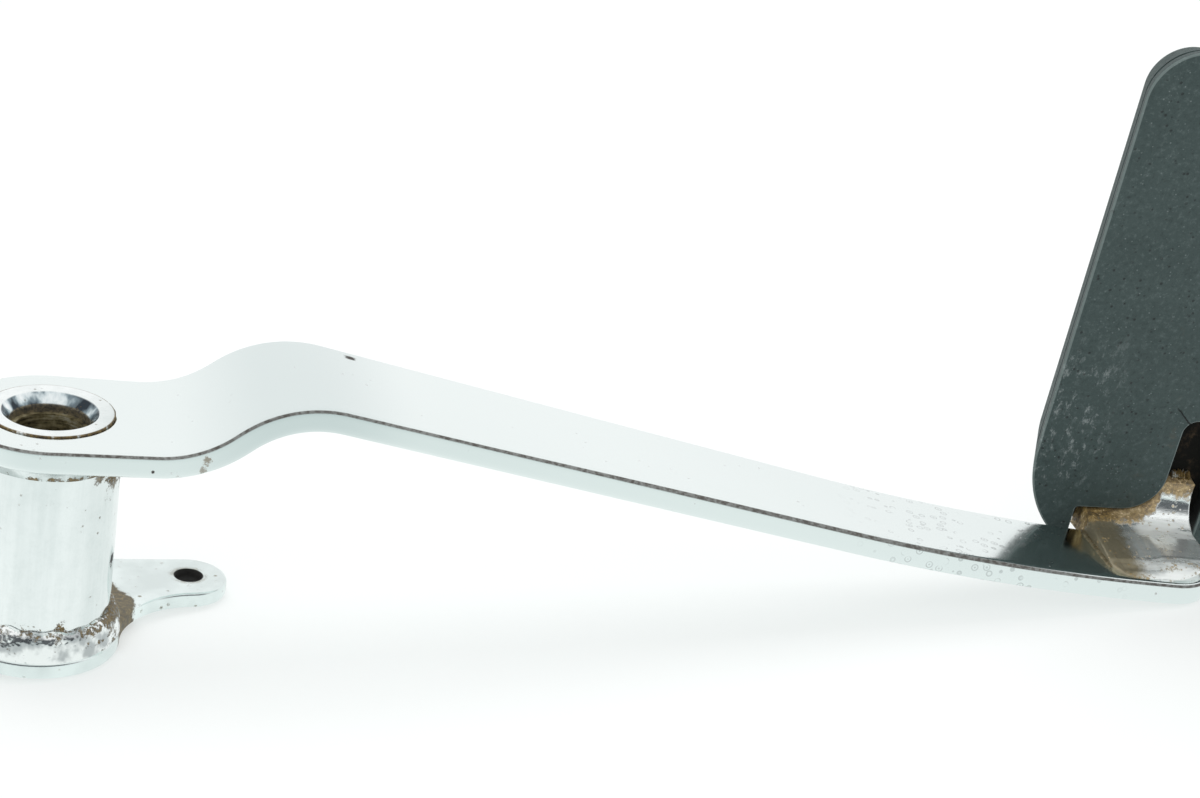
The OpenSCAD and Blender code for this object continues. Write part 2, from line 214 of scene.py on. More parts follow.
PLATED = (0.86, 0.92, 0.91)
PLATED_DULL = (0.60, 0.62, 0.60)
RUST = (0.125, 0.082, 0.022)
RUST_PALE = (0.36, 0.27, 0.12)
GRIME = (0.035, 0.026, 0.018)


class Value:
    """A number that varies over a surface. Arithmetic on it adds Math nodes."""

    def __init__(self, make, socket):
        self.make, self.socket = make, socket

    def _math(self, operation, *args):
        return self.make.node("ShaderNodeMath", {"operation": operation}, dict(enumerate(args)))[0]

    def __add__(self, other): return self._math("ADD", self, other)
    def __radd__(self, other): return self._math("ADD", other, self)
    def __sub__(self, other): return self._math("SUBTRACT", self, other)
    def __rsub__(self, other): return self._math("SUBTRACT", other, self)
    def __mul__(self, other): return self._math("MULTIPLY", self, other)
    def __rmul__(self, other): return self._math("MULTIPLY", other, self)

    def above(self, low, high):
        """0 below low, 1 above high and smooth between; low may be the larger one."""
        return self.make.node("ShaderNodeMapRange", {"interpolation_type": "SMOOTHSTEP"},
                              {"Value": self, "From Min": low, "From Max": high})[0]

    def most(self, other): return self._math("MAXIMUM", self, other)


class Finish:
    """One procedural material. Places are the object's own coordinates in millimetres. For a world, pass it
    as owner, with its own kind of coordinates."""

    def __init__(self, name, owner=None, coordinates="Object", scale=1.0 / MM):
        self.material = owner or bpy.data.materials.new(name)
        self.material.use_nodes = True
        self.tree = self.material.node_tree
        self.tree.nodes.clear()
        where = self.node("ShaderNodeTexCoord", outputs=(coordinates,))[0]
        self.place = self.vector("SCALE", where, scale=scale)

    def node(self, kind, settings=None, inputs=None, outputs=None):
        """Adds a node: settings first, then its sockets' values or links. Gives its outputs as Values."""
        made = self.tree.nodes.new(kind)
        for key, value in (settings or {}).items():
            if key == "ramp":
                stops = made.color_ramp.elements
                while len(stops) < len(value):
                    stops.new(0.5)
                for stop, (at, colour) in zip(stops, value):
                    stop.position, stop.color = at, (*colour, 1.0)
            else:
                setattr(made, key, value)
        for key, value in (inputs or {}).items():
            socket = made.inputs[key]
            if isinstance(value, Value):
                self.tree.links.new(value.socket, socket)
            elif hasattr(socket.default_value, "__len__") and not hasattr(value, "__len__"):
                socket.default_value = [value] * len(socket.default_value)
            elif socket.type == "RGBA" and len(value) == 3:
                socket.default_value = (*value, 1.0)
            else:
                socket.default_value = value
        names = outputs or [s.name for s in made.outputs if s.enabled]
        self.last = made
        return [Value(self, made.outputs[n]) for n in names]

    def vector(self, operation, *args, scale=None):
        """A Vector Math node's one output: a vector, or a number for LENGTH and DISTANCE."""
        inputs = dict(enumerate(args))
        if scale is not None:
            inputs["Scale"] = scale
        return self.node("ShaderNodeVectorMath", {"operation": operation}, inputs)[0]

    def parts(self):
        """X, Y and Z of the place."""
        return self.node("ShaderNodeSeparateXYZ", None, {0: self.place})

    def noise(self, size, detail=4.0, rough=0.55, stretch=None):
        """Noise from 0 to 1 with bumps about size millimetres across."""
        place = self.vector("MULTIPLY", self.place, stretch) if stretch else self.place
        return self.node("ShaderNodeTexNoise", None, {
            "Vector": place, "Scale": 1.0 / size, "Detail": detail, "Roughness": rough,
        }, outputs=("Fac",))[0]

    def cells(self, size):
        """Distance to the nearest of scattered points about size millimetres apart, as a share of size."""
        return self.node("ShaderNodeTexVoronoi", None, {"Vector": self.place, "Scale": 1.0 / size},
                         outputs=("Distance",))[0]

    def spot(self, centre, radius, ragged=0.35, soft=0.35):
        """1 inside a ragged round spot and 0 outside."""
        away = self.vector("DISTANCE", self.place, centre)
        edge = away + (self.noise(radius * 0.8, 5.0, 0.7) - 0.5) * (4 * ragged * radius)
        return edge.above(radius * (1 + soft), radius * (1 - soft))

    def mark(self, name):
        """A number stored on the mesh's points."""
        return self.node("ShaderNodeAttribute", {"attribute_name": name}, None, outputs=("Fac",))[0]

    def mix(self, share, a, b):
        """Colour a where share is 0 and b where it is 1."""
        # the node has sockets of one name for each data type, so the colour ones go by number
        self.node("ShaderNodeMix", {"data_type": "RGBA"}, {0: share, 6: a, 7: b})
        return Value(self, self.last.outputs[2])

    def ramp(self, value, stops):
        """Colour from (value, colour) stops."""
        return self.node("ShaderNodeValToRGB", {"ramp": stops}, {0: value}, outputs=("Color",))[0]

    def rusty(self, value, *at):
        """Grime, rust and pale rust with their stops at three values."""
        return self.ramp(value, list(zip(at, (GRIME, RUST, RUST_PALE))))

    def bump(self, height, distance):
        """Relief of height (0 to 1) times distance in millimetres."""
        inputs = {"Height": height, "Distance": distance * MM, "Strength": 1.0}
        return self.node("ShaderNodeBump", None, inputs, outputs=("Normal",))[0]

    def done(self, **sockets):
        """Links the finished Principled shader to the output."""
        names = {"colour": "Base Color", "rough": "Roughness", "metal": "Metallic", "normal": "Normal",
                 "shine": "Specular IOR Level"}
        shader = self.node("ShaderNodeBsdfPrincipled", None,
                           {names[k]: v for k, v in sockets.items()}, outputs=("BSDF",))[0]
        self.node("ShaderNodeOutputMaterial", None, {"Surface": shader}, outputs=())
        return self.material


def plated_arm():
    """Bright plating on the bar: faint haze, pinholes, a dark brown line on the top edge, a few rust specks, a
    nick and dried water drops towards the far end, with painted reflection darkening the hollow of the bend
    and the far end."""
    f = Finish("arm_plating")
    haze = f.noise(38.0, 3.0, 0.5, stretch=(0.4, 1.0, 1.0))
    fine = f.noise(1.1, 6.0, 0.7)
    x = f.parts()[0]
    # the rounded top edge, by its place round the section: 1 to 9 are the quarter circle
    edge = f.mark("edge")
    wide = x.above(85.0, 150.0) * x.above(245.0, 205.0)
    line = (edge + wide * 1.4).above(4.3, 5.1) * edge.above(8.1, 7.3)
    patchy = f.noise(9.0, 5.0, 0.75, stretch=(0.5, 1.0, 1.0))
    # a dark brown line along the rounded top edge, broken into patches and wider in the middle of the arm
    dark_edge_line = line * patchy.above(0.20, 0.40) * (0.8 + 0.2 * fine.above(0.4, 0.6))
    # painted reflection: colour darkened in the hollow of the bend, where it mirrors the boss, and a little
    # towards the far end, where it mirrors the dark pad
    shade = x.above(24.0, 46.0) * x.above(80.0, 58.0) * 0.42 + x.above(120.0, 235.0) * 0.16
    pits = f.cells(2.6).above(0.16, 0.07) * f.noise(14.0, 3.0, 0.6).above(0.55, 0.72)
    rust = f.spot((32.6, -19.8, 27.0), 0.9, 0.9) * 0.75
    rust = rust.most(f.spot((31.9, -19.8, 24.6), 0.8, 0.9) * 0.65)
    nick = f.spot((65.2, 15.0, 38.2), 1.2, 0.5).most(f.spot((21.5, -20.1, 23.9), 0.35, 0.3))
    drop = f.cells(2.7)
    drops = drop.above(0.36, 0.31) * drop.above(0.20, 0.27).most(drop.above(0.14, 0.08))
    drops = drops * x.above(176.0, 200.0) * x.above(252.0, 238.0) * f.noise(11.0, 3.0, 0.6).above(0.42, 0.52)
    colour = f.mix(haze * 0.12 + shade, PLATED, (0.58, 0.66, 0.66))
    colour = f.mix(drops * 0.5, colour, (0.40, 0.43, 0.43))
    colour = f.mix(pits * 0.7, colour, (0.22, 0.2, 0.18))
    colour = f.mix(dark_edge_line * 0.95, colour, GRIME)
    colour = f.mix(rust, colour, RUST)
    colour = f.mix(nick, colour, (0.03, 0.025, 0.02))
    dull = dark_edge_line.most(rust).most(nick).most(pits * 0.8)
    return f.done(colour=colour, metal=1.0 - dull,
                  rough=0.10 + haze * 0.08 + fine * 0.03 + dull * 0.45 + drops * 0.12,
                  normal=f.bump(f.noise(24.0, 2.0, 0.4) + fine * 0.004 - pits * 0.05 - rust * 0.04, 0.12))


def arm_weld_skin():
    """The weld under the arm: hazy plating with brown specks along its lower edge and a rusty patch on one
    side."""
    f = Finish("arm_weld_plating")
    x, _, z = f.parts()
    fine = f.noise(0.9, 6.0, 0.75)
    blot = f.noise(3.2, 6.0, 0.72)
    haze = f.noise(7.0, 4.0, 0.6)
    low = z.above(20.4, 18.6)
    rust = (blot + low * 0.12 + x.above(6.0, 14.0) * 0.20).above(0.61, 0.67) * fine.above(0.38, 0.48)
    colour = f.mix(haze.above(0.35, 0.62) * 0.8, PLATED, (0.44, 0.50, 0.49))
    colour = f.mix(rust * 0.95, colour, f.rusty(fine, 0.38, 0.52, 0.70))
    return f.done(colour=colour, metal=1.0 - rust, rough=0.16 + haze * 0.12 + rust * 0.45,
                  normal=f.bump(haze * 0.6 + fine * 0.05 - rust * 0.1, 0.5))


def plated_tube():
    """The tube: streaky plating with painted shade on its right side, specks at its foot, grimy rust under the
    arm, a brown seam round the spigot, a chamfered mouth with a painted reflection of the dark bore, and an
    oily bore wall darkened as painted shade."""
    f = Finish("tube_plating")
    x, _, z = f.parts()
    fine = f.noise(0.9, 6.0, 0.75)
    blot = f.noise(4.0, 6.0, 0.72)
    streak = f.noise(4.5, 4.0, 0.6, stretch=(1.0, 1.0, 0.07))
    swirl = f.noise(4.2, 3.0, 0.5, stretch=(1.0, 1.0, 0.3))
    r = f.vector("LENGTH", f.vector("MULTIPLY", f.place, (1.0, 1.0, 0.0)))
    foot = z.above(-9.0, -20.0)
    under = z.above(8.0, 17.0) * z.above(24.0, 22.0) * x.above(5.0, 13.0)
    seam = r.above(SPIGOT_R - 0.5, SPIGOT_R - 0.15) * z.above(27.0, 27.4)
    speck = f.cells(2.6).above(0.16, 0.06) * f.noise(9.0, 3.0, 0.6).above(0.50, 0.60)
    rust = (blot + foot * 0.14).above(0.68, 0.73) * fine.above(0.38, 0.48)
    rust = rust.most((blot + under * 0.2).above(0.66, 0.72) * under * fine.above(0.36, 0.46))
    rust = rust.most(seam * blot.above(0.32, 0.46)).most(speck * 0.7)
    chip = f.spot((15.2, -4.6, -4.6), 1.3, 0.6)
    mouth = r.above(MOUTH_R + 0.05, MOUTH_R - 0.25) * z.above(BORE_TOP - 0.2, BORE_TOP + 0.3)
    bore = r.above(BORE_R + 0.35, BORE_R + 0.1)
    # painted shade: the plating is darkened towards the tube's right side, x over 5 mm
    colour = f.mix(streak.above(0.38, 0.64) * 0.18 + blot.above(0.40, 0.66) * 0.12 + x.above(5.0, 15.0) * 0.4,
                   (0.93, 0.97, 0.965), (0.60, 0.67, 0.66))
    # painted reflection: the chamfered mouth is coloured in swirls from black to white, standing in for the
    # dark bore and the pale room it mirrors
    colour = f.mix(mouth, colour, f.ramp(swirl, [(0.36, (0.035, 0.045, 0.055)), (0.46, (0.22, 0.28, 0.31)),
                                                 (0.54, (0.62, 0.70, 0.72)), (0.66, (0.9, 0.94, 0.94))]))
    # the bore wall: dark oil, with painted shade taking it down to near black inside the bore
    oily = f.ramp(fine, [(0.4, (0.03, 0.026, 0.018)), (0.6, (0.20, 0.16, 0.09))])
    colour = f.mix(bore * 0.95, colour, oily)
    colour = f.mix(rust, colour, f.rusty(fine, 0.38, 0.54, 0.72))
    colour = f.mix(chip, colour, (0.02, 0.02, 0.02))
    dull = rust.most(bore * 0.5).most(chip)
    return f.done(colour=colour, metal=1.0 - dull, rough=0.09 + streak * 0.08 + dull * 0.5,
                  normal=f.bump(fine * 0.02 + f.noise(9.0, 2.0, 0.4) * 0.3 - rust * 0.1, 0.3))


def neck_metal():
    """The neck: bright worn plating with brown flecks, ochre crumbling rust under the rubber, a smooth brown
    stain down its left side, and dull bright wear on its nose and at the foot of the hollow."""
    f = Finish("neck_metal")
    x = f.parts()[0]
    near, section = f.mark("near"), f.mark("section")
    fine = f.noise(0.7, 6.0, 0.75)
    blot = f.noise(3.4, 6.0, 0.72)
    broad = f.noise(9.0, 3.0, 0.6)
    streak = f.noise(2.0, 4.0, 0.6, stretch=(0.22, 1.0, 1.0))
    left = (x + (blot - 0.5) * 9.0).above(256.5, 251.5)
    under = (blot * 10.0 - near).above(1.0, 2.6)
    fleck = f.cells(1.5).above(0.30, 0.14) * blot.above(0.47, 0.55)
    ochre = under.most(fleck * 0.8).most((blot + broad * 0.1).above(0.66, 0.72))
    crumb = f.cells(0.9).above(0.34, 0.15) * ochre * fine.above(0.50, 0.58)
    nose = section.above(0.98, 0.80)
    line = section.above(1.55, 1.85) * section.above(2.34, 2.16) * x.above(255.0, 260.0)
    flat = section.above(0.8, 1.0) * section.above(2.3, 1.8)
    worn = (nose * (0.55 + 0.45 * streak.above(0.35, 0.6))).most(line * streak.above(0.25, 0.5))
    worn = worn.most(flat * 0.42)
    mottle = nose * (blot * 0.6 + fine * 0.4).above(0.53, 0.60)
    tone = f.ramp(blot * 0.6 + fine * 0.4, [(0.38, (0.04, 0.026, 0.010)), (0.46, (0.15, 0.098, 0.032)),
                                            (0.53, (0.35, 0.235, 0.080)), (0.62, (0.62, 0.49, 0.28))])
    colour = f.mix(streak.above(0.40, 0.66) * 0.5, (0.90, 0.94, 0.93), (0.50, 0.53, 0.53))
    colour = f.mix(worn, colour, (0.88, 0.92, 0.90))
    colour = f.mix(mottle * 0.75, colour, (0.30, 0.25, 0.15))
    colour = f.mix(left * 0.92, colour, f.mix(fine, (0.17, 0.14, 0.075), (0.38, 0.32, 0.19)))
    colour = f.mix(ochre * 0.92, colour, tone)
    colour = f.mix(crumb, colour, (0.88, 0.72, 0.46))
    return f.done(colour=colour, metal=1.0 - ochre.most(left * 0.4).most(worn * 0.72),
                  rough=0.08 + streak * 0.12 + (ochre * 0.4).most(left * 0.18).most(worn * 0.25),
                  normal=f.bump(broad * 0.5 + streak * 0.2 + fine * 0.03 + ochre * fine * 0.4, 0.45))


def brown_stain():
    """The smooth brown skin of the bead beside the neck, half metal."""
    f = Finish("brown_stain")
    fine = f.noise(0.9, 6.0, 0.7)
    blot = f.noise(3.0, 5.0, 0.7)
    colour = f.ramp(fine * 0.5 + blot * 0.5,
                    [(0.38, (0.12, 0.10, 0.055)), (0.52, (0.26, 0.22, 0.135)), (0.66, (0.46, 0.40, 0.26))])
    return f.done(colour=colour, metal=0.5, rough=0.3 + fine * 0.15,
                  normal=f.bump(fine * 0.3 + blot * 0.4, 0.3))


def weld_rust(name, plate_share=0.45):
    """A weld bead: rust crumbs over patches of bright plating."""
    f = Finish(name)
    fine = f.noise(0.8, 6.0, 0.75)
    blot = f.noise(4.0, 5.0, 0.7)
    rust = blot.above(plate_share + 0.06, plate_share - 0.06)
    colour = f.mix(rust, f.mix(f.noise(9.0) * 0.5, PLATED, PLATED_DULL), f.rusty(fine, 0.3, 0.5, 0.7))
    return f.done(colour=colour, metal=1.0 - rust * 0.85, rough=0.15 + rust * 0.6,
                  normal=f.bump(fine * 0.3 + blot * 0.5, 0.5))


def lever_plating(tip):
    """The rod lever: hazy plating with brown specks, a hole wall coloured black as painted shade, and a brown
    patch beside the weld.
    """
    f = Finish("lever_plating")
    x, y, _ = f.parts()
    fine = f.noise(1.0, 6.0, 0.75)
    blot = f.noise(4.0, 6.0, 0.72)
    haze = f.noise(14.0, 3.0, 0.5)
    flat = f.vector("MULTIPLY", f.place, (1.0, 1.0, 0.0))
    away = f.vector("DISTANCE", flat, (*tip, 0.0))
    # painted shade: the rod hole's wall is coloured near black so the hole reads as dark inside
    hole = away.above(ROD_R + 0.35, ROD_R + 0.1)
    ring = away.above(ROD_R + 1.5, ROD_R + 0.4) * blot.above(0.42, 0.55)
    # the patch ends at a ragged slanting line and at x of about 21.7 mm
    ragged = (blot - 0.5) * 5.0
    web = (x * 0.816 + y * 0.578 + ragged).above(26.2, 25.4) * (x + ragged).above(22.2, 21.5)
    web = web * y.above(-5.0, -2.0)
    speck = f.cells(2.3).above(0.28, 0.10) * blot.above(0.50, 0.60)
    rust = web.most(speck * 0.8).most(ring * 0.5)
    colour = f.mix(haze.above(0.35, 0.65) * 0.45, (0.84, 0.92, 0.91), (0.52, 0.58, 0.57))
    colour = f.mix(rust * 0.9, colour, f.rusty(fine, 0.34, 0.52, 0.72))
    colour = f.mix(hole, colour, (0.008, 0.007, 0.006))
    dull = rust.most(hole)
    return f.done(colour=colour, metal=1.0 - dull * 0.9, rough=0.14 + haze * 0.12 + dull * 0.5,
                  normal=f.bump(haze * 0.5 + fine * 0.06 - rust * 0.2, 0.3))


def lever_weld_skin():
    """The weld under the tube: lumpy bright plating darkened on its lumps as painted reflection, with brown
    specks along its upper rim and in its hollows."""
    f = Finish("lever_weld_plating")
    x, _, z = f.parts()
    fine = f.noise(0.9, 6.0, 0.75)
    blot = f.noise(3.0, 6.0, 0.72)
    lumps = f.noise(5.5, 3.0, 0.5)
    rim = z.above(-20.5, -18.2)
    side = x.above(8.0, 15.0)
    rust = (blot + rim * 0.13 + side * 0.10).above(0.62, 0.68) * fine.above(0.38, 0.48)
    # painted reflection: the plating darkens where the lumps rise
    colour = f.mix(lumps.above(0.44, 0.60) * 0.75, (0.92, 0.95, 0.94), (0.34, 0.37, 0.38))
    colour = f.mix(rust * 0.95, colour, f.rusty(fine, 0.36, 0.52, 0.70))
    return f.done(colour=colour, metal=1.0 - rust, rough=0.08 + lumps * 0.08 + rust * 0.45,
                  normal=f.bump(lumps * 1.4 + fine * 0.03 - rust * 0.1, 1.0))


def bronze():
    """Old bush bronze, oily and olive brown, with turned rings."""
    f = Finish("bush_bronze")
    rings = f.noise(1.1, 4.0, 0.7, stretch=(0.08, 0.08, 1.0))
    blot = f.noise(2.4, 5.0, 0.7)
    colour = f.ramp(rings * 0.65 + blot * 0.35, [(0.40, (0.03, 0.026, 0.018)), (0.47, (0.20, 0.17, 0.09)),
                                                 (0.54, (0.42, 0.37, 0.22)), (0.62, (0.62, 0.60, 0.48))])
    return f.done(colour=colour, metal=0.75, rough=0.32 + blot * 0.25,
                  normal=f.bump(rings * 0.6 + blot * 0.3, 0.3))


def shaded_footplate_steel():
    """Steel of the footplate, coloured near black as painted shade for the dark gap behind the notch, dull,
    with brown stains.
    """
    f = Finish("footplate_painted_shade")
    blot = f.noise(6.0, 6.0, 0.7)
    # painted shade: near black, for the shadowed gap seen through the notch
    colour = f.mix(blot.above(0.54, 0.72), (0.006, 0.006, 0.005), (0.045, 0.032, 0.02))
    return f.done(colour=colour, rough=0.75, shine=0.12, normal=f.bump(f.noise(1.2, 6.0, 0.7), 0.15))


def rubber():
    """Old moulded rubber: dark slate, speckled at every scale, with chalky scuffs low on the left, brown dust
    and one crack from the notch, and a painted sheen on its rounded edges. Inside the notch it is coloured
    black as painted shade."""
    f = Finish("pad_rubber_finish")
    x, _, z = f.parts()
    grain = f.noise(0.5, 6.0, 0.85)
    speckle = f.noise(1.3, 6.0, 0.75)
    mottle = f.noise(3.6, 6.0, 0.72)
    cloud = f.noise(19.0, 5.0, 0.6)
    edge = f.mark("edge")
    pits = f.cells(1.9).above(0.24, 0.10) * f.noise(7.0, 4.0, 0.7).above(0.44, 0.56)
    dust = f.cells(1.2).above(0.22, 0.08) * mottle.above(0.47, 0.60)
    low_left = x.above(250.0, 240.0) * z.above(64.0, 44.0) * z.above(16.0, 22.0)
    scuff = f.noise(2.4, 6.0, 0.8, stretch=(1.0, 1.0, 0.5)).above(0.52, 0.68) * low_left
    smear = f.spot((241.5, 15.0, 30.0), 2.6, 0.9).most(f.spot((244.0, 15.0, 27.5), 1.6, 0.8))
    brown = f.noise(5.0, 6.0, 0.7).above(0.58, 0.70) * x.above(250.0, 262.0)
    # painted sheen: a lighter band on the rounded edge, standing in for the grazing reflection off the
    # rubber's side
    seam = edge.above(0.8, 2.0) * edge.above(9.5, 7.5)
    notch_painted_shade = f.mark("inside")
    # a crack from the notch's round corner, up and to the left, with a wobble
    off = (x - 266.6) * 0.691 + (z - 36.7) * 0.724 + (mottle - 0.5) * 1.6
    far = (z - 36.7) * 0.691 - (x - 266.6) * 0.724
    crack = off.above(-0.26, -0.06) * off.above(0.26, 0.06) * far.above(-1.0, 0.0) * far.above(7.5, 5.0)
    colour = f.mix(cloud, (0.024, 0.042, 0.041), (0.046, 0.070, 0.068))
    colour = f.mix(speckle.above(0.50, 0.72) * 0.55, colour, (0.10, 0.13, 0.128))
    colour = f.mix(speckle.above(0.48, 0.30) * 0.6, colour, (0.014, 0.024, 0.024))
    colour = f.mix(brown * 0.35, colour, (0.085, 0.072, 0.05))
    colour = f.mix(pits * 0.75, colour, (0.008, 0.011, 0.011))
    colour = f.mix(dust * 0.4, colour, (0.26, 0.30, 0.30))
    colour = f.mix((scuff * 0.55).most(smear * mottle.above(0.35, 0.6) * 0.6), colour, (0.38, 0.42, 0.42))
    # painted sheen on the rounded edge
    colour = f.mix(seam * 0.35, colour, (0.30, 0.36, 0.35))
    colour = f.mix(crack * 0.9, colour, (0.005, 0.007, 0.007))
    # painted shade: the notch's inside is coloured near black
    colour = f.mix(notch_painted_shade * 0.93, colour, (0.004, 0.004, 0.004))
    return f.done(colour=colour, rough=0.55 + mottle * 0.2 + notch_painted_shade * 0.25, shine=0.32,
                  normal=f.bump(grain * 0.5 + speckle * 0.3 + mottle * 0.4 - pits * 0.8 - crack, 0.2))


# ---- Arm ----

def bar_heights():
    """Side view of the bar: its upper line as straight stretches and arcs that touch, the lower line ARM_T
    below it and square to it, and the centre of the last arc."""
    s, c = math.sin, math.cos
    rise, fall = math.radians(RISE), math.radians(FALL)
    foot = np.array([FLAT + RISE_R * s(rise), RISE_R * (1 - c(rise))])
    head = foot + RAMP * np.array([c(rise), s(rise)])
    crest = head + CREST_R * np.array([s(rise), -c(rise)])
    start = crest + CREST_R * np.array([s(fall), c(fall)])
    run = (FLATTEN_FROM - start[0]) / c(fall)
    end = start + run * np.array([c(fall), -s(fall)])
    dish = end + FLATTEN_R * np.array([s(fall), c(fall)])
    upper = np.concatenate([
        [[-60.0, 0.0]],
        arc((FLAT, RISE_R), RISE_R, -90, RISE - 90, 160),
        arc(crest, CREST_R, 90 + RISE, 90 - FALL, 200),
        arc(dish, FLATTEN_R, -90 - FALL, -88, 200),
    ])
    slope = np.radians(np.concatenate([
        [0.0], np.linspace(0, RISE, 160), np.linspace(RISE, -FALL, 200), np.linspace(-FALL, 2, 200)]))
    lower = upper + ARM_T * np.stack([np.sin(slope), -np.cos(slope)], -1)
    return upper, lower, dish


UPPER, LOWER, DISH = bar_heights()


def bar_place(plan, share):
    """Plan point to space: u is the place along the turned bend direction, z runs from the upper line (share
    0) to the lower line (share 1)."""
    turn = turned(SKEW)
    u = plan @ turn
    z = (1 - share) * np.interp(u, UPPER[:, 0], UPPER[:, 1]) + share * np.interp(u, LOWER[:, 0], LOWER[:, 1])
    return np.column_stack([plan, ARM_TOP + z])


def arm_piece():
    """The bar. Its plan is the boss circle and the end circle joined by their outer tangents. The inner loop
    runs round the spigot's hole and along the middle line to the end's centre, where it stays."""
    side = 90 - math.degrees(math.asin((BOSS_R - END_R) / REACH))
    n_side, n_boss, n_end = 300, 120, 72
    far = np.array([REACH, 0.0])
    boss = arc((0, 0), BOSS_R, side, 360 - side, n_boss)
    end = arc(far, END_R, -side, side, n_end)
    right = along([boss[-1], end[0]], n_side + 2)[1:-1]
    left = along([end[-1], boss[0]], n_side + 2)[1:-1]
    outer = np.concatenate([boss, right, end, left])
    in_boss = arc((0, 0), SPIGOT_R, side, 360 - side, n_boss)
    in_right = along(np.concatenate([arc((0, 0), SPIGOT_R, -side, 0, 60), [far]]), n_side + 2)[1:-1]
    in_end = np.repeat(far[None], n_end, 0)
    inner = np.concatenate([in_boss, in_right, in_end, (in_right * (1, -1))[::-1]])
    hole = np.hypot(*inner.T) < SPIGOT_R + 0.01
    pts, faces, mark = plate(outer, inner, hole, ARM_T, 1.2, 1.0, bar_place, rows=(14, 8))
    make_mesh("plated_arm", [(pts, faces)], plated_arm(), ["arm"], marks={"edge": mark})


# ---- Rod lever ----

def lever_piece():
    """The rod lever. Its plan runs round the boss circle, through a hollow arc that touches boss and tip,
    round the tip, and back along the tangents of a web circle. The inner loop goes round the spigot's hole
    and the rod's hole, which straight stretches join."""
    tip = LEVER_REACH * turned(LEVER_TURN)
    web = WEB_REACH * turned(LEVER_TURN + WEB_TURN)
    near, far = LEVER_R + HOLLOW_R, TIP_R + HOLLOW_R
    bend = math.degrees(math.acos((near ** 2 + LEVER_REACH ** 2 - far ** 2) / (2 * near * LEVER_REACH)))
    start = LEVER_TURN - bend
    hollow = near * turned(start)
    to_hollow = math.degrees(math.atan2(*(hollow - tip)[::-1]))
    to_tip = tip - web
    boss_join = LEVER_TURN + WEB_TURN + 90 - math.degrees(math.asin((LEVER_R - WEB_R) / WEB_REACH))
    tip_join = math.degrees(math.atan2(to_tip[1], to_tip[0])) + 90 - math.degrees(
        math.asin((WEB_R - TIP_R) / np.linalg.norm(to_tip)))
    n_boss, n_side, n_tip = 110, 60, 60
    boss = arc((0, 0), LEVER_R, boss_join, start + 360, n_boss)
    dip = along(arc(hollow, HOLLOW_R, start + 180, to_hollow + 180, 60), n_side + 2)[1:-1]
    end = arc(tip, TIP_R, to_hollow, tip_join, n_tip)
    back = np.concatenate([end[-1:], arc(web, WEB_R, tip_join, boss_join, 40), boss[:1]])
    back = along(back, n_side + 2)[1:-1]
    outer = np.concatenate([boss, dip, end, back])
    in_boss = arc((0, 0), SPIGOT_R, boss_join, start + 360, n_boss)
    in_tip = arc(tip, ROD_R, to_hollow, tip_join, n_tip)
    across = along(np.concatenate([
        arc((0, 0), SPIGOT_R, start, LEVER_TURN, 20), arc(tip, ROD_R, LEVER_TURN - 180, to_hollow, 20)
    ]), n_side + 2)[1:-1]
    back_in = along(np.concatenate([
        arc(tip, ROD_R, tip_join, LEVER_TURN + 180, 20), arc((0, 0), SPIGOT_R, LEVER_TURN, boss_join, 20)
    ]), n_side + 2)[1:-1]
    inner = np.concatenate([in_boss, across, in_tip, back_in])
    hole = (np.hypot(*inner.T) < SPIGOT_R + 0.02) | (np.hypot(*(inner - tip).T) < ROD_R + 0.02)

    def place(plan, share):
        """Flat: the height runs from the lever's top (share 0) to the tube's lower end (share 1)."""
        return np.column_stack([plan, np.full(len(plan), LEVER_T - TUBE_TOP - share * LEVER_T)])

    pts, faces, _ = plate(outer, inner, hole, LEVER_T, 1.0, 1.0, place, rows=(8, 4))
    make_mesh("plated_rod_lever", [(pts, faces)], lever_plating(tip), ["rod_lever"])


# ---- Tube and its welds ----

def tube_piece():
    """The tube as a turned profile: spigot, chamfered mouth, bore, the other mouth and spigot, and the
    outside."""
    wall = corner([
        (SPIGOT_R, 10.0 - TUBE_TOP + LEVER_T - 6), (SPIGOT_R, -TUBE_TOP), (MOUTH_R, -TUBE_TOP),
        (BORE_R, MOUTH_DEPTH - TUBE_TOP), (BORE_R, TUBE_TOP - MOUTH_DEPTH), (MOUTH_R, TUBE_TOP),
        (SPIGOT_R, TUBE_TOP), (SPIGOT_R, ARM_TOP - ARM_T), (TUBE_R, ARM_TOP - ARM_T),
        (TUBE_R, LEVER_T - TUBE_TOP), (SPIGOT_R, LEVER_T - TUBE_TOP)
    ], 0.35)
    heights = []
    for a, b in zip(wall, np.roll(wall, -1, 0)):
        n = max(1, int(np.linalg.norm(b - a) / 2.0))
        heights.append(a + (b - a) * np.linspace(0, 1, n, endpoint=False)[:, None])
    grid, faces = lathe(np.concatenate(heights), 160)
    make_mesh("plated_tube", [(grid, faces[:, ::-1])], plated_tube(), ["pivot_tube"], sharp=50)


def bead(radius, profile, lumps, seed, steps=260):
    """A weld ring: profile (distance out, height) carried round, with its reach swollen by a sum of sines so
    that it rises and falls like laid beads."""
    profile = np.asarray(profile, float)
    angle = np.radians(np.linspace(0, 360, steps, endpoint=False))
    rng = np.random.default_rng(seed)
    swell = sum(rng.uniform(0.3, 1) * np.sin(k * angle + rng.uniform(0, 6.3)) for k in (2, 3, 5, 9, 14, 23))
    swell = 1 + lumps * swell / 3
    second = sum(rng.uniform(0.3, 1) * np.sin(k * angle + rng.uniform(0, 6.3)) for k in (3, 4, 7, 11, 19))
    out = profile[:, None, 0] * swell[None]
    up = profile[:, None, 1] * (1 + 0.6 * lumps * second[None] / 3)
    grid = np.stack([(radius + out) * np.cos(angle), (radius + out) * np.sin(angle), up], -1)
    return grid, grid_faces(len(profile), steps, wrap_rows=True)


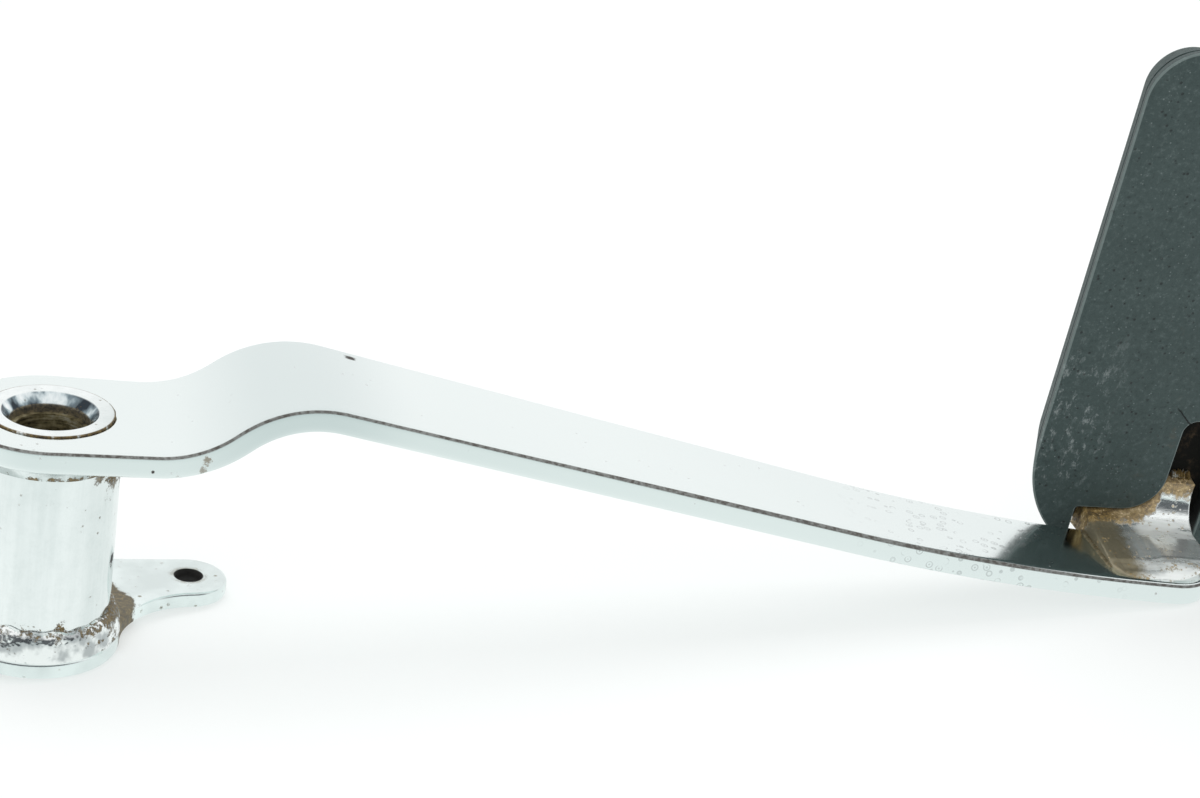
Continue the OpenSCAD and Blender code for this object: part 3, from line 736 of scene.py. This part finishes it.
def weld_pieces():
    """The two round welds: a fillet with a hollow quarter circle under the arm, and a full skirt round the
    tube's foot, of reach width cos(t)^0.8 at height sin(t)."""
    leg = 3.7
    hollow = arc((leg, -leg), leg, 180, 90, 12)
    ring = np.concatenate([[(-0.6, 0.3)], [(-0.6, -leg)], hollow, [(leg, 0.3)]])
    grid, faces = bead(TUBE_R, ring, 0.05, 3)
    grid[..., 2] += ARM_TOP - ARM_T
    make_mesh("arm_weld", [(grid, faces)], arm_weld_skin(), ["arm_weld_ring"], sharp=60)
    height, width = 6.5, 2.4
    t = np.linspace(0, 1, 16)
    skirt = np.column_stack([width * np.cos(t * np.pi / 2) ** 0.8, height * np.sin(t * np.pi / 2)])
    ring = np.concatenate([[(-0.8, -0.2)], [(width, -0.2)], skirt, [(-0.8, height)]])
    grid, faces = bead(TUBE_R, ring, 0.16, 8)
    grid[..., 2] += LEVER_T - TUBE_TOP
    make_mesh("lever_weld", [(grid, faces[:, ::-1])], lever_weld_skin(), ["lever_weld_ring"],
              sharp=60)


# ---- Pad's own frame: x across, depth behind its back, height up the pad ----

END_U = REACH * math.cos(math.radians(SKEW))        # the end's place along the bend direction
SLOPE = math.asin((DISH[0] - END_U) / FLATTEN_R)
END_TOP = ARM_TOP + DISH[1] - math.sqrt(FLATTEN_R ** 2 - (END_U - DISH[0]) ** 2)
PAD_Y, PAD_Z = END_R + PAD_GAP, END_TOP + PAD_LIFT
PAD_MID = REACH + PAD_OFFSET
FRONT = RECESS + NECK_T


def on_pad(x, depth, height):
    """Turns depth and height by the pad's lean about X and moves them to its foot."""
    x, depth, height = np.broadcast_arrays(x, depth, height)
    c, s = math.cos(LEAN), math.sin(LEAN)
    return np.stack([x, PAD_Y + depth * c - height * s, PAD_Z + depth * s + height * c], -1)


def sloped(x, depth, height):
    """As on_pad, first turned by the arm's slope about the depth axis, for what is welded to the arm's
    end."""
    c, s = math.cos(SLOPE), math.sin(SLOPE)
    dx = x - REACH
    return on_pad(REACH + dx * c + height * s, depth, height * c - dx * s)


def in_pad(y, z):
    """The way back from on_pad: depth and height of a point at y and z."""
    y, z, c, s = y - PAD_Y, z - PAD_Z, math.cos(LEAN), math.sin(LEAN)
    return np.array([y * c + z * s, z * c - y * s])


def neck_outline(x):
    """Height of the neck's front outline: a shelf just under the rubber, a hollow quarter circle round the
    rubber's shoulder, then the neck's top."""
    shelf_x, radius = PAD_MID - NOTCH_W / 2 - SHOULDER_R, SHOULDER_R + SHOULDER_GAP
    climb = np.sqrt(radius ** 2 - np.clip(x - shelf_x, 0, radius * 0.9999) ** 2)
    return np.minimum(NOTCH_STEP + SHOULDER_R - climb, NECK_TOP)


def neck_piece():
    """Side section as one line of (depth, height): an arc for the nose, the straight foot, a hollow arc and
    the upright. Heights are held under the front outline by a rounded minimum, min(a, b) - h^2 k / 4 with h =
    max(k - |a - b|, 0) / k. Across, x runs between the plan's left line with its rounded corner and the arm's
    end circle; the flanks' edges follow a quarter circle. The closed skirt goes down just into the arm."""
    drop = FOOT_T - TOE_T
    nose_r = (NOSE_LEN ** 2 + drop ** 2) / (2 * drop)
    nose = arc((NOSE_LEN - FOOT_R, END_TOP + FOOT_T - nose_r), nose_r,
               90 + math.degrees(math.acos(1 - drop / nose_r)), 90, 24)
    nose = in_pad(*nose.T).T
    heel = nose[-1][1] - (RECESS - nose[-1][0]) * math.tan(LEAN)
    mid = np.array([RECESS - NECK_HOLLOW, heel + NECK_HOLLOW / math.tan(math.pi / 4 - LEAN / 2)])
    hollow = arc(mid, NECK_HOLLOW, PAD_LEAN - 90, 0, 60)
    top = corner([hollow[-1], (RECESS, NECK_TOP), (FRONT, NECK_TOP)], 0.5, 6)
    foot = along([nose[-1], hollow[0]], 24)[1:-1]
    line = np.concatenate([nose, foot, hollow, top[1:-1], along(top[-2:], 6)[1:]])
    run = np.gradient(line, axis=0)
    run /= np.linalg.norm(run, axis=1, keepdims=True)
    y = on_pad(0.0, line[:, 0], line[:, 1])[:, 1:2]
    round_r, edge, n_flat = 4.0, 0.7, 56
    into = np.clip(round_r - FOOT_R - y, 0, round_r)
    x_left = REACH - NECK_HALF + round_r - np.sqrt(np.maximum(round_r ** 2 - into ** 2, 0))
    x_right = REACH + np.sqrt(FOOT_R ** 2 - np.clip(y, -FOOT_R, 0) ** 2)
    turn = np.radians(np.linspace(0, 90, 7))[:-1]
    share = np.concatenate([np.zeros(6), np.linspace(0, 1, n_flat), np.ones(6)])
    inwards, down = edge * (1 - np.cos(turn)), edge * (1 - np.sin(turn))
    inset = np.concatenate([inwards, edge * (1 - 2 * share[6:-6]), -inwards[::-1]])
    sink = np.concatenate([down, np.zeros(n_flat), down[::-1]])
    x = x_left + np.maximum(x_right - x_left, 3 * edge) * share + inset
    lumps = 0.14 * np.sin(x * 2.3) * np.sin(x * 0.9 + 1.0)
    stop = neck_outline(x + line[:, 1:] * math.sin(SLOPE)) + (x - REACH) * math.sin(SLOPE) + lumps - sink
    depth = line[:, :1] + sink * run[:, 1:]
    free = line[:, 1:] - sink * run[:, :1]
    soft = 1.4
    height = np.minimum(free, stop) - np.maximum(soft - np.abs(free - stop), 0) ** 2 / (4 * soft)
    grid = np.stack(np.broadcast_arrays(x, depth, height), -1)

    def lowered(points):
        """The same points, moved along the height until they lie 1.2 mm inside the arm."""
        low = -(PAD_LIFT + 1.2 + points[..., 1] * math.sin(LEAN)) / math.cos(LEAN)
        return np.concatenate([points[..., :2], low[..., None]], -1)

    grid = np.concatenate([lowered(grid[:, :1]), grid, lowered(grid[:, -1:])], 1)
    grid = np.concatenate([lowered(grid[:1]), grid, lowered(grid[-1:])], 0)
    rows, cols = grid.shape[:2]
    index = np.arange(rows * cols).reshape(rows, cols)
    ring = np.concatenate([index[0], index[1:, -1], index[-1, -2::-1], index[-2:0:-1, 0]])
    # marks for the finish: how far a point is from the rubber, and its place down the section, which is 0 to
    # 1 on the nose, to 2 on the foot, to 3 in the hollow and to 4 on the upright
    near = np.pad(np.maximum(stop - free, 0) * 0.8 + np.maximum(-depth, 0) * 0.75, 1, mode="edge")
    part = np.interp(np.arange(len(line)), [0, 23, 46, 105, len(line) - 1], [0, 1, 2, 3, 4])
    section = np.pad(np.repeat(part[:, None], len(share), 1), 1, mode="edge")
    faces = grid_faces(rows, cols, wrap_cols=False)[:, ::-1]
    make_mesh("neck_plate", [(sloped(grid[..., 0], grid[..., 1], grid[..., 2]), faces, [ring])], neck_metal(),
              ["neck"], sharp=60, marks={"near": near, "section": section})


def bead_line(points, across, up, count=90, lumps=0.2, seed=1):
    """A short weld bead along a line: half-round section with reach across and rise up, swollen by a sum of
    sines and closed at both ends."""
    path = along(points, count)
    t = np.linspace(0, 1, count)
    rng = np.random.default_rng(seed)
    swell = sum(rng.uniform(0.3, 1) * np.sin(k * t * 6.3 + rng.uniform(0, 6.3)) for k in (2, 4, 7, 12, 19))
    swell = (1 + lumps * swell / 2) * np.clip(np.minimum(t, 1 - t) * 12, 0, 1) ** 0.5
    angle = np.radians(np.linspace(0, 360, 16, endpoint=False))
    ring = np.cos(angle)[:, None, None] * np.asarray(across) + np.sin(angle)[:, None, None] * np.asarray(up)
    grid = path[None] + ring * swell[None, :, None]
    return grid, grid_faces(16, count, wrap_cols=False, wrap_rows=True)


def neck_weld_pieces():
    """Three beads: along the neck's left foot, round its right foot, and between neck and footplate."""
    left = REACH - NECK_HALF
    rise = NECK_HALF * math.sin(SLOPE)
    y = np.linspace(4.0 - FOOT_R, END_R - 0.5, 12)
    line = np.column_stack([np.full(12, left - 0.1), y, np.full(12, END_TOP + rise + 0.1)])
    grid, faces = bead_line(line, (0.7, 0, 0), (0, 0, 0.6), lumps=0.12, seed=4)
    rust = weld_rust("neck_weld_rust", 0.6)
    make_mesh("neck_weld_left_bead", [(grid, faces)], brown_stain(), ["neck_weld_left"])
    bend = arc((REACH, 0), FOOT_R + 0.1, -42, -2, 20)
    z = bar_place(bend, 0.0)[:, 2]
    grid, faces = bead_line(np.column_stack([bend, z]), (0.55, -0.4, 0), (0, 0, 0.5), lumps=0.3, seed=6)
    make_mesh("neck_weld_right_bead", [(grid, faces)], rust, ["neck_weld_right"])
    x = np.linspace(PAD_MID - NOTCH_W / 2 + SHOULDER_R / 5, REACH + FOOT_R - 1, 12)
    line = sloped(x, np.full(12, FRONT - 0.4), np.full(12, NECK_TOP + 0.2))
    base = on_pad(0.0, 0.0, 0.0)
    across, up = on_pad(0.0, -1.3, 0.0) - base, on_pad(0.0, 0.0, 1.2) - base
    grid, faces = bead_line(line, across, up, lumps=0.35, seed=9)
    make_mesh("neck_weld_top_bead", [(grid, faces)], rust, ["neck_weld_top"])


# ---- Rubber pad ----

def pad_loop(inset, bottom, notch):
    """The pad's outline, anticlockwise in (x, height), with the notch cut into its lower edge if asked."""
    left, right, top = PAD_MID - PAD_W / 2 + inset, PAD_MID + PAD_W / 2 - inset, PAD_H - inset
    top_r, low_r = PAD_TOP_R - inset / 2, PAD_LOW_R - inset
    low_v = PAD_LOW_R - 12.0
    dip = math.degrees(math.asin(min(1.0, (low_v - bottom) / low_r)))
    lower_left = arc((left + low_r, low_v), low_r, 180, 180 + dip, 40)
    lower_right = arc((right - low_r, low_v), low_r, 360 - dip, 360, 40)
    a, b = lower_left[-1], lower_right[0]
    low = REACH - NECK_HALF - FOOT_WELD - NOTCH_GAP
    slot_l, slot_r = PAD_MID - NOTCH_W / 2, PAD_MID + NOTCH_W / 2
    corners = [a, (low, bottom), (low, NOTCH_STEP), (slot_l - SHOULDER_R, NOTCH_STEP)]
    shoulder = arc((slot_l - SHOULDER_R, NOTCH_STEP + SHOULDER_R), SHOULDER_R, -90, 0, 24)
    walls = [(slot_l, NOTCH_H - NOTCH_R)]
    round_l = arc((slot_l + NOTCH_R, NOTCH_H - NOTCH_R), NOTCH_R, 180, 90, 10)
    round_r = arc((slot_r - NOTCH_R, NOTCH_H - NOTCH_R), NOTCH_R, 90, 0, 10)
    cut = [corner(corners, 0.8, 5)[:-1], shoulder, walls, round_l, round_r[1:], [(slot_r, bottom)]]
    cut = np.concatenate([np.asarray(c, float).reshape(-1, 2) for c in cut])
    cut = along(cut, CUT_POINTS)
    if not notch:
        cut = np.column_stack([np.linspace(a[0], slot_r, CUT_POINTS), np.full(CUT_POINTS, bottom)])
    floor = along([cut[-1], b], 30)[1:-1]
    sides = [
        lower_right,
        along([lower_right[-1], (right, top - top_r)], 60)[1:-1],
        arc((right - top_r, top - top_r), top_r, 0, 90, 30),
        along([(right - top_r, top), (left + top_r, top)], 40)[1:-1],
        arc((left + top_r, top - top_r), top_r, 90, 180, 30),
        along([(left, top - top_r), lower_left[0]], 60)[1:-1],
        lower_left[:-1],
    ]
    return np.concatenate([cut, floor] + sides)


def pad_piece():
    """Moulded slab as stacked loops. Depth runs from the back (0) to the tread (PAD_T); each loop is the
    outline drawn in by the draft, its edges rounded over a quarter circle. The notch stops at the
    footplate."""
    floor, edge, soft = FRONT + 0.4, 0.45, 1.0
    a = np.radians(np.linspace(0, 90, 6))

    def loop_at(depth, notch, shrink=0.0):
        """The outline at a depth, drawn in by the draft's share there, and by shrink along its normals."""
        share = np.clip((depth - 0.5) / (PAD_T - 1.0), 0, 1)
        bottom = -PAD_HANG + (TREAD_LOW + PAD_HANG) * share
        loop = pad_loop(PAD_DRAFT * share, bottom, notch)
        return loop - shrink * outward(loop) if shrink else loop

    def stack(layers):
        """(loop, depth, mark) layers as one grid in space, with its faces, marks and points in a loop."""
        grid = np.array([on_pad(loop[:, 0], depth, loop[:, 1]) for loop, depth, _ in layers])
        mark = np.repeat([m for _, _, m in layers], grid.shape[1]).astype(float)
        return grid.reshape(-1, 3), grid_faces(*grid.shape[:2]), mark, grid.shape[1]

    def raised(loop, low, top, radius):
        """A closed form that stands on the tread, its upper edge rounded over a quarter circle."""
        layers = [(loop, low, 10), (loop, top - radius, 10)]
        layers += [(loop - radius * (1 - math.cos(t)) * outward(loop), top - radius * (1 - math.sin(t)), 10)
                   for t in a[1:]]
        p, q, m, k = stack(layers)
        return p, q[:, ::-1], [np.arange(len(p) - k, len(p))], m

    front = [(loop_at(0, True, edge * (1 - math.sin(t))), edge * (1 - math.cos(t)), 1 + 1.5 * i)
             for i, t in enumerate(a)]
    front += [(loop_at(d, True), d, 10) for d in np.linspace(edge, floor, 6)[1:]]
    pts, faces, mark, n = stack(front)
    cap = [np.arange(n)]
    body = [(loop_at(d, False), d, 10) for d in np.linspace(floor, PAD_T - 1.0, 8)]
    body += [(loop_at(PAD_T, False, soft * (1 - math.cos(t))), PAD_T - soft * (1 - math.sin(t)), 10)
             for t in a[1:]]
    pts2, faces2, mark2, n2 = stack(body)
    cap2 = [np.arange(n2), np.arange(len(pts2) - n2, len(pts2))[::-1]]
    field = pad_loop(PAD_DRAFT + FIELD_INSET, TREAD_LOW + FIELD_INSET, False)
    ribs = [raised(field, PAD_T - 0.5, PAD_T + FIELD_H, 0.3)]
    rib_half = PAD_W / 2 - PAD_DRAFT - RIB_W
    pitch = (PAD_H - PAD_DRAFT - TREAD_LOW - RIB_W) / RIBS
    for i in range(RIBS):
        middle = (PAD_MID, TREAD_LOW + RIB_W / 2 + (i + 0.5) * pitch)
        ribs.append(raised(half_round(middle, rib_half, RIB_W / 2), PAD_T - 0.4, PAD_T + RIB_H, 1.0))
    parts = [(pts, faces, cap), (pts2, faces2, cap2)] + [rib[:3] for rib in ribs]
    marks = np.concatenate([mark, mark2] + [rib[3] for rib in ribs])
    inside = np.zeros(len(marks))
    inside[:len(mark)].reshape(-1, n)[6:, :CUT_POINTS] = 1.0
    make_mesh("moulded_pad", parts, rubber(), ["pad_rubber"], sharp=35,
              marks={"edge": marks, "inside": inside})


def paint_node(name, material):
    """Gives a carried-over CAD node its own finish."""
    obj = frame["nodes"][name]
    obj.data.materials.clear()
    obj.data.materials.append(material)


# ---- Studio ----

def rest_plane():
    """A point and the upward normal of the floor, which goes through the two front points of the lever's
    bottom and the first point under the arm's end that leaves no other below it."""
    tip = LEVER_REACH * turned(LEVER_TURN)
    seam = turned(LEVER_TURN - 90 + math.degrees(math.asin((LEVER_R - TIP_R) / LEVER_REACH)))
    a, b = np.array([*LEVER_R * seam, -TUBE_TOP]), np.array([*(tip + TIP_R * seam), -TUBE_TOP])
    under = bar_place(arc((REACH, 0), END_R, -90, 90, 60), 1.0)
    normals = np.cross(b - a, under - a)
    normals *= np.sign(normals[:, 2:]) / np.linalg.norm(normals, axis=1, keepdims=True)
    lowest = ((under - a) @ normals.T).min(0)
    return a, normals[np.argmax(lowest > -1e-6)]


def floor_piece():
    """Flat paper 8 m wide, 0.02 mm under the plane that the pedal rests on, so that nothing coincides."""
    origin, z = rest_plane()
    x = np.cross((0, 1, 0), z)
    x /= np.linalg.norm(x)
    y = np.cross(z, x)
    reach = np.linspace(-4000, 4000, 9)
    gx, gy = np.meshgrid(reach, reach, indexing="ij")
    pts = origin + gx[..., None] * x + gy[..., None] * y - 0.02 * z
    mesh = bpy.data.meshes.new("floor")
    faces = grid_faces(9, 9, wrap_cols=False)[:, ::-1]
    mesh.from_pydata((pts.reshape(-1, 3) * MM).tolist(), [], faces.tolist())
    obj = bpy.data.objects.new("floor", mesh)
    bpy.context.scene.collection.objects.link(obj)
    f = Finish("floor_paper")
    camera_ray, glossy_ray = f.node("ShaderNodeLightPath", outputs=("Is Camera Ray", "Is Glossy Ray"))
    # towards the front the paper is dimmer in the plating's reflections
    dim = glossy_ray * f.parts()[1].above(60.0, -260.0)
    cloud = f.noise(140.0, 3.0, 0.5)
    colour = f.mix(cloud, (0.90, 0.92, 0.915), (0.96, 0.97, 0.968))
    paper = f.node("ShaderNodeBsdfPrincipled", None,
                   {"Base Color": colour, "Roughness": 0.9, "Specular IOR Level": 0.1}, outputs=("BSDF",))[0]
    shade = f.mix(dim, (0.97, 1.0, 0.99), (0.62, 0.70, 0.69))
    glow = f.node("ShaderNodeEmission", None, {"Color": shade, "Strength": 1.0}, outputs=("Emission",))[0]
    both = f.node("ShaderNodeMixShader", None, {0: camera_ray * 0.55 + glossy_ray * 0.9, 1: paper, 2: glow},
                  outputs=("Shader",))[0]
    f.node("ShaderNodeOutputMaterial", None, {"Surface": both}, outputs=())
    mesh.materials.append(f.material)


def world():
    """Pale room: white to the camera and in the plating, with a dim patch behind the camera that the polished
    edges pick up."""
    sky = bpy.data.worlds.new("room")
    bpy.context.scene.world = sky
    f = Finish("room", sky, "Generated", 1.0)
    _, y, z = f.parts()
    camera_ray, glossy_ray = f.node("ShaderNodeLightPath", outputs=("Is Camera Ray", "Is Glossy Ray"))
    front = (-1.0 * y).above(0.25, 0.75) * z.above(-0.35, -0.05) * z.above(0.75, 0.45)
    room = f.mix(front * 0.9, (1.0, 1.0, 1.0), (0.03, 0.04, 0.05))
    soft = f.mix(camera_ray.most(glossy_ray), (0.8, 0.8, 0.8), room)
    both = f.mix(camera_ray, soft, (1.0, 1.0, 1.0))
    back = f.node("ShaderNodeBackground", None, {"Color": both, "Strength": 1.0}, outputs=("Background",))[0]
    f.node("ShaderNodeOutputWorld", None, {"Surface": back}, outputs=())


def lamp(name, place, aim, size, power):
    """A square soft lamp that faces aim and isn't seen in the plating."""
    light = bpy.data.lights.new(name, "AREA")
    light.size, light.energy = size, power
    obj = bpy.data.objects.new(name, light)
    bpy.context.scene.collection.objects.link(obj)
    way = np.asarray(aim, float) - place
    way /= np.linalg.norm(way)
    side = np.cross(way, (0, 0, 1))
    side /= np.linalg.norm(side)
    up = np.cross(side, way)
    obj.matrix_world = Matrix([[side[i], up[i], -way[i], place[i]] for i in range(3)] + [[0, 0, 0, 1]])
    obj.visible_glossy = False


def camera():
    """The photograph's camera: place and axes solved from the pedal's own edges."""
    cam = bpy.data.cameras.new("camera")
    cam.sensor_width, cam.lens, cam.sensor_fit = 36.0, 80.927, "HORIZONTAL"
    cam.clip_start, cam.clip_end = 0.01, 30.0
    obj = bpy.data.objects.new("camera", cam)
    bpy.context.scene.collection.objects.link(obj)
    right = (0.9736293, -0.1798035, 0.1404158)
    down = (0.0579850, -0.4002407, -0.9145737)
    ahead = (0.2206436, 0.8985978, -0.3792602)
    place = (-0.0130802, -0.5414456, 0.2667138)
    obj.matrix_world = Matrix([[right[i], -down[i], -ahead[i], place[i]] for i in range(3)] + [[0, 0, 0, 1]])
    bpy.context.scene.camera = obj


def main():
    bpy.context.scene.view_settings.view_transform = "Standard"
    camera()
    arm_piece()
    lever_piece()
    tube_piece()
    weld_pieces()
    neck_piece()
    neck_weld_pieces()
    pad_piece()
    metal = bronze()
    paint_node("upper_bush", metal)
    paint_node("lower_bush", metal)
    paint_node("footplate", shaded_footplate_steel())
    floor_piece()
    world()
    lamp("high_soft_lamp", (0.1, 0.5, 1.3), (0.13, 0.0, 0.0), 1.4, 9.0)
    lamp("front_soft_lamp", (-0.4, -1.2, 0.9), (0.13, 0.0, 0.0), 1.2, 6.0)


main()
bpy.context.view_layer.update()
